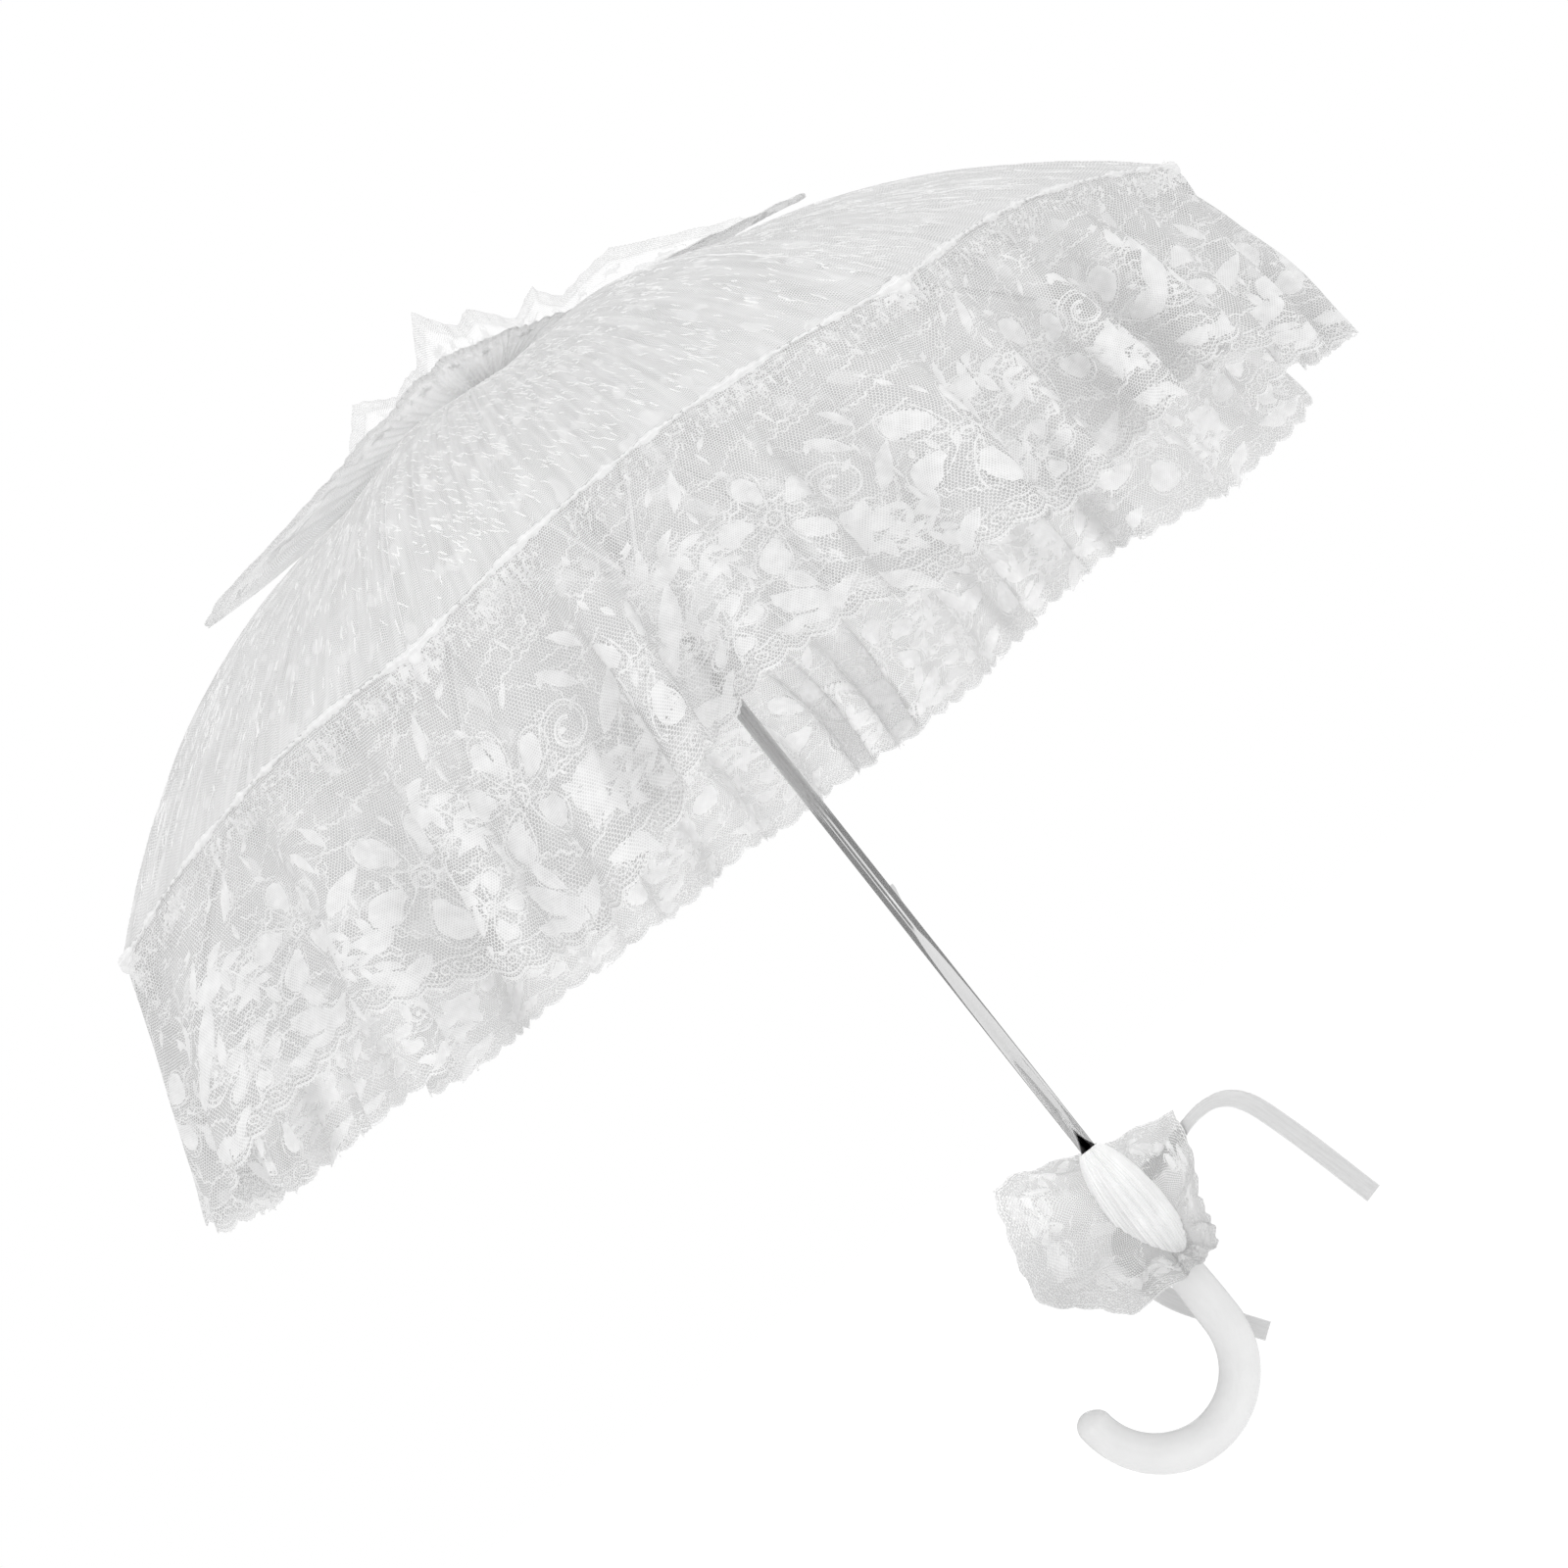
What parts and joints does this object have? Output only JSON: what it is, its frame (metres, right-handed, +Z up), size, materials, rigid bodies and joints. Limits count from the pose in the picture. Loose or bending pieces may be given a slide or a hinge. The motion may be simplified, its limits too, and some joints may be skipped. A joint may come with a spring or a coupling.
{
  "type": "lace parasol",
  "caption": "Open lace parasol: gathered net canopy on curved ribs, deep floral lace ruffle, top frill, steel shaft and glossy white crook handle with a lace cuff and satin ribbon.",
  "frame": {"origin": "on the shaft's axis at the middle of the hand grip, 430 mm below the plane of the rib tips", "axes": "+Z up the shaft towards the ferrule, -X towards the open side of the crook"},
  "size_m": [0.7094, 0.7094, 0.7081],
  "materials": {
    "steel": "polished",
    "fitting_plastic": "gloss",
    "handle_plastic": "gloss",
    "tip_plastic": "gloss",
    "rib_metal": "satin white paint",
    "canopy_lace": "finely gathered net lace",
    "ruffle_lace": "floral net lace",
    "frill_lace": "soft tulle with a lace border",
    "cuff_lace": "gathered lace",
    "satin_ribbon": "satin"
  },
  "bodies": {
    "shaft": {"shaft_tube": "steel", "ferrule": "fitting_plastic", "top_notch": "fitting_plastic", "notch_wire": "steel", "crook_handle": "handle_plastic", "handle_cuff": "cuff_lace", "cuff_ribbon": "satin_ribbon"},
    "runner": {"runner": "fitting_plastic", "runner_wire": "steel"},
    "top_catch": {"top_catch": "steel"},
    "bottom_catch": {"bottom_catch": "steel"},
    "rib_1": {"rib_1": "rib_metal", "rib_tip_1": "tip_plastic", "canopy_gore_1": "canopy_lace", "top_frill_1": "frill_lace"},
    "ruffle_1": {"ruffle_1": "ruffle_lace"},
    "stretcher_1": {"stretcher_1": "rib_metal"},
    "rib_2": {"rib_2": "rib_metal", "rib_tip_2": "tip_plastic", "canopy_gore_2": "canopy_lace", "top_frill_2": "frill_lace"},
    "ruffle_2": {"ruffle_2": "ruffle_lace"},
    "stretcher_2": {"stretcher_2": "rib_metal"},
    "rib_3": {"rib_3": "rib_metal", "rib_tip_3": "tip_plastic", "canopy_gore_3": "canopy_lace", "top_frill_3": "frill_lace"},
    "ruffle_3": {"ruffle_3": "ruffle_lace"},
    "stretcher_3": {"stretcher_3": "rib_metal"},
    "rib_4": {"rib_4": "rib_metal", "rib_tip_4": "tip_plastic", "canopy_gore_4": "canopy_lace", "top_frill_4": "frill_lace"},
    "ruffle_4": {"ruffle_4": "ruffle_lace"},
    "stretcher_4": {"stretcher_4": "rib_metal"},
    "rib_5": {"rib_5": "rib_metal", "rib_tip_5": "tip_plastic", "canopy_gore_5": "canopy_lace", "top_frill_5": "frill_lace"},
    "ruffle_5": {"ruffle_5": "ruffle_lace"},
    "stretcher_5": {"stretcher_5": "rib_metal"},
    "rib_6": {"rib_6": "rib_metal", "rib_tip_6": "tip_plastic", "canopy_gore_6": "canopy_lace", "top_frill_6": "frill_lace"},
    "ruffle_6": {"ruffle_6": "ruffle_lace"},
    "stretcher_6": {"stretcher_6": "rib_metal"},
    "rib_7": {"rib_7": "rib_metal", "rib_tip_7": "tip_plastic", "canopy_gore_7": "canopy_lace", "top_frill_7": "frill_lace"},
    "ruffle_7": {"ruffle_7": "ruffle_lace"},
    "stretcher_7": {"stretcher_7": "rib_metal"},
    "rib_8": {"rib_8": "rib_metal", "rib_tip_8": "tip_plastic", "canopy_gore_8": "canopy_lace", "top_frill_8": "frill_lace"},
    "ruffle_8": {"ruffle_8": "ruffle_lace"},
    "stretcher_8": {"stretcher_8": "rib_metal"}
  },
  "joints": [
    {"name": "canopy_fold", "type": "hinge", "parent": "shaft", "child": "rib_1", "pos_m": [0.00786, 0.00439, 0.566], "axis": [-0.4879, 0.8729, 0], "range_deg": [0, 63], "deforming": ["canopy_gore_1", "top_frill_1"]},
    {"name": "rib_2_fold", "type": "hinge", "parent": "shaft", "child": "rib_2", "pos_m": [0.00245, 0.00866, 0.566], "axis": [-0.9622, 0.2723, 0], "range_deg": [0, 63], "deforming": ["canopy_gore_2", "top_frill_2"]},
    {"name": "rib_3_fold", "type": "hinge", "parent": "shaft", "child": "rib_3", "pos_m": [-0.00439, 0.00786, 0.566], "axis": [-0.8729, -0.4879, 0], "range_deg": [0, 63], "deforming": ["canopy_gore_3", "top_frill_3"]},
    {"name": "rib_4_fold", "type": "hinge", "parent": "shaft", "child": "rib_4", "pos_m": [-0.00866, 0.00245, 0.566], "axis": [-0.2723, -0.9622, 0], "range_deg": [0, 63], "deforming": ["canopy_gore_4", "top_frill_4"]},
    {"name": "rib_5_fold", "type": "hinge", "parent": "shaft", "child": "rib_5", "pos_m": [-0.00786, -0.00439, 0.566], "axis": [0.4879, -0.8729, 0], "range_deg": [0, 63], "deforming": ["canopy_gore_5", "top_frill_5"]},
    {"name": "rib_6_fold", "type": "hinge", "parent": "shaft", "child": "rib_6", "pos_m": [-0.00245, -0.00866, 0.566], "axis": [0.9622, -0.2723, 0], "range_deg": [0, 63], "deforming": ["canopy_gore_6", "top_frill_6"]},
    {"name": "rib_7_fold", "type": "hinge", "parent": "shaft", "child": "rib_7", "pos_m": [0.00439, -0.00786, 0.566], "axis": [0.8729, 0.4879, 0], "range_deg": [0, 63], "deforming": ["canopy_gore_7", "top_frill_7"]},
    {"name": "rib_8_fold", "type": "hinge", "parent": "shaft", "child": "rib_8", "pos_m": [0.00866, -0.00245, 0.566], "axis": [0.2723, 0.9622, 0], "range_deg": [0, 63], "deforming": ["canopy_gore_8", "top_frill_8"]},
    {"name": "ruffle_1_hang", "type": "hinge", "parent": "rib_1", "child": "ruffle_1", "pos_m": [0.29592, 0.16538, 0.431], "axis": [-0.4879, 0.8729, 0], "range_deg": [-72.8, 0], "deforming": ["ruffle_1"]},
    {"name": "ruffle_2_hang", "type": "hinge", "parent": "rib_2", "child": "ruffle_2", "pos_m": [0.0923, 0.32619, 0.431], "axis": [-0.9622, 0.2723, 0], "range_deg": [-72.8, 0], "deforming": ["ruffle_2"]},
    {"name": "ruffle_3_hang", "type": "hinge", "parent": "rib_3", "child": "ruffle_3", "pos_m": [-0.16538, 0.29592, 0.431], "axis": [-0.8729, -0.4879, 0], "range_deg": [-72.8, 0], "deforming": ["ruffle_3"]},
    {"name": "ruffle_4_hang", "type": "hinge", "parent": "rib_4", "child": "ruffle_4", "pos_m": [-0.32619, 0.0923, 0.431], "axis": [-0.2723, -0.9622, 0], "range_deg": [-72.8, 0], "deforming": ["ruffle_4"]},
    {"name": "ruffle_5_hang", "type": "hinge", "parent": "rib_5", "child": "ruffle_5", "pos_m": [-0.29592, -0.16538, 0.431], "axis": [0.4879, -0.8729, 0], "range_deg": [-72.8, 0], "deforming": ["ruffle_5"]},
    {"name": "ruffle_6_hang", "type": "hinge", "parent": "rib_6", "child": "ruffle_6", "pos_m": [-0.0923, -0.32619, 0.431], "axis": [0.9622, -0.2723, 0], "range_deg": [-72.8, 0], "deforming": ["ruffle_6"]},
    {"name": "ruffle_7_hang", "type": "hinge", "parent": "rib_7", "child": "ruffle_7", "pos_m": [0.16538, -0.29592, 0.431], "axis": [0.8729, 0.4879, 0], "range_deg": [-72.8, 0], "deforming": ["ruffle_7"]},
    {"name": "ruffle_8_hang", "type": "hinge", "parent": "rib_8", "child": "ruffle_8", "pos_m": [0.32619, -0.0923, 0.431], "axis": [0.2723, 0.9622, 0], "range_deg": [-72.8, 0], "deforming": ["ruffle_8"]},
    {"name": "stretcher_1_swing", "type": "hinge", "parent": "rib_1", "child": "stretcher_1", "pos_m": [0.13094, 0.07318, 0.5498], "axis": [-0.4879, 0.8729, 0], "range_deg": [-103.2, 0]},
    {"name": "stretcher_2_swing", "type": "hinge", "parent": "rib_2", "child": "stretcher_2", "pos_m": [0.04084, 0.14433, 0.5498], "axis": [-0.9622, 0.2723, 0], "range_deg": [-103.2, 0]},
    {"name": "stretcher_3_swing", "type": "hinge", "parent": "rib_3", "child": "stretcher_3", "pos_m": [-0.07318, 0.13094, 0.5498], "axis": [-0.8729, -0.4879, 0], "range_deg": [-103.2, 0]},
    {"name": "stretcher_4_swing", "type": "hinge", "parent": "rib_4", "child": "stretcher_4", "pos_m": [-0.14433, 0.04084, 0.5498], "axis": [-0.2723, -0.9622, 0], "range_deg": [-103.2, 0]},
    {"name": "stretcher_5_swing", "type": "hinge", "parent": "rib_5", "child": "stretcher_5", "pos_m": [-0.13094, -0.07318, 0.5498], "axis": [0.4879, -0.8729, 0], "range_deg": [-103.2, 0]},
    {"name": "stretcher_6_swing", "type": "hinge", "parent": "rib_6", "child": "stretcher_6", "pos_m": [-0.04084, -0.14433, 0.5498], "axis": [0.9622, -0.2723, 0], "range_deg": [-103.2, 0]},
    {"name": "stretcher_7_swing", "type": "hinge", "parent": "rib_7", "child": "stretcher_7", "pos_m": [0.07318, -0.13094, 0.5498], "axis": [0.8729, 0.4879, 0], "range_deg": [-103.2, 0]},
    {"name": "stretcher_8_swing", "type": "hinge", "parent": "rib_8", "child": "stretcher_8", "pos_m": [0.14433, -0.04084, 0.5498], "axis": [0.2723, 0.9622, 0], "range_deg": [-103.2, 0]},
    {"name": "runner_slide", "type": "slide", "parent": "shaft", "child": "runner", "axis": [0, 0, -1], "range_m": [0, 0.1861]},
    {"name": "top_catch_press", "type": "slide", "parent": "shaft", "child": "top_catch", "axis": [-0.9932, -0.1167, 0], "range_m": [0, 0.0016], "stiffness_N_per_m": 300},
    {"name": "bottom_catch_press", "type": "slide", "parent": "shaft", "child": "bottom_catch", "axis": [-0.9932, -0.1167, 0], "range_m": [0, 0.0016], "stiffness_N_per_m": 300}
  ],
  "couplings": [
    {"joint": "rib_2_fold", "follows": "canopy_fold", "ratio": 1},
    {"joint": "rib_3_fold", "follows": "canopy_fold", "ratio": 1},
    {"joint": "rib_4_fold", "follows": "canopy_fold", "ratio": 1},
    {"joint": "rib_5_fold", "follows": "canopy_fold", "ratio": 1},
    {"joint": "rib_6_fold", "follows": "canopy_fold", "ratio": 1},
    {"joint": "rib_7_fold", "follows": "canopy_fold", "ratio": 1},
    {"joint": "rib_8_fold", "follows": "canopy_fold", "ratio": 1},
    {"joint": "ruffle_1_hang", "follows": "canopy_fold", "ratio": -1.15},
    {"joint": "ruffle_2_hang", "follows": "canopy_fold", "ratio": -1.15},
    {"joint": "ruffle_3_hang", "follows": "canopy_fold", "ratio": -1.15},
    {"joint": "ruffle_4_hang", "follows": "canopy_fold", "ratio": -1.15},
    {"joint": "ruffle_5_hang", "follows": "canopy_fold", "ratio": -1.15},
    {"joint": "ruffle_6_hang", "follows": "canopy_fold", "ratio": -1.15},
    {"joint": "ruffle_7_hang", "follows": "canopy_fold", "ratio": -1.15},
    {"joint": "ruffle_8_hang", "follows": "canopy_fold", "ratio": -1.15},
    {"joint": "stretcher_1_swing", "follows": "canopy_fold", "ratio": -1.6334},
    {"joint": "stretcher_2_swing", "follows": "canopy_fold", "ratio": -1.6334},
    {"joint": "stretcher_3_swing", "follows": "canopy_fold", "ratio": -1.6334},
    {"joint": "stretcher_4_swing", "follows": "canopy_fold", "ratio": -1.6334},
    {"joint": "stretcher_5_swing", "follows": "canopy_fold", "ratio": -1.6334},
    {"joint": "stretcher_6_swing", "follows": "canopy_fold", "ratio": -1.6334},
    {"joint": "stretcher_7_swing", "follows": "canopy_fold", "ratio": -1.6334},
    {"joint": "stretcher_8_swing", "follows": "canopy_fold", "ratio": -1.6334},
    {"joint": "runner_slide", "follows": "canopy_fold", "m_per_rad": 0.16913}
  ]
}
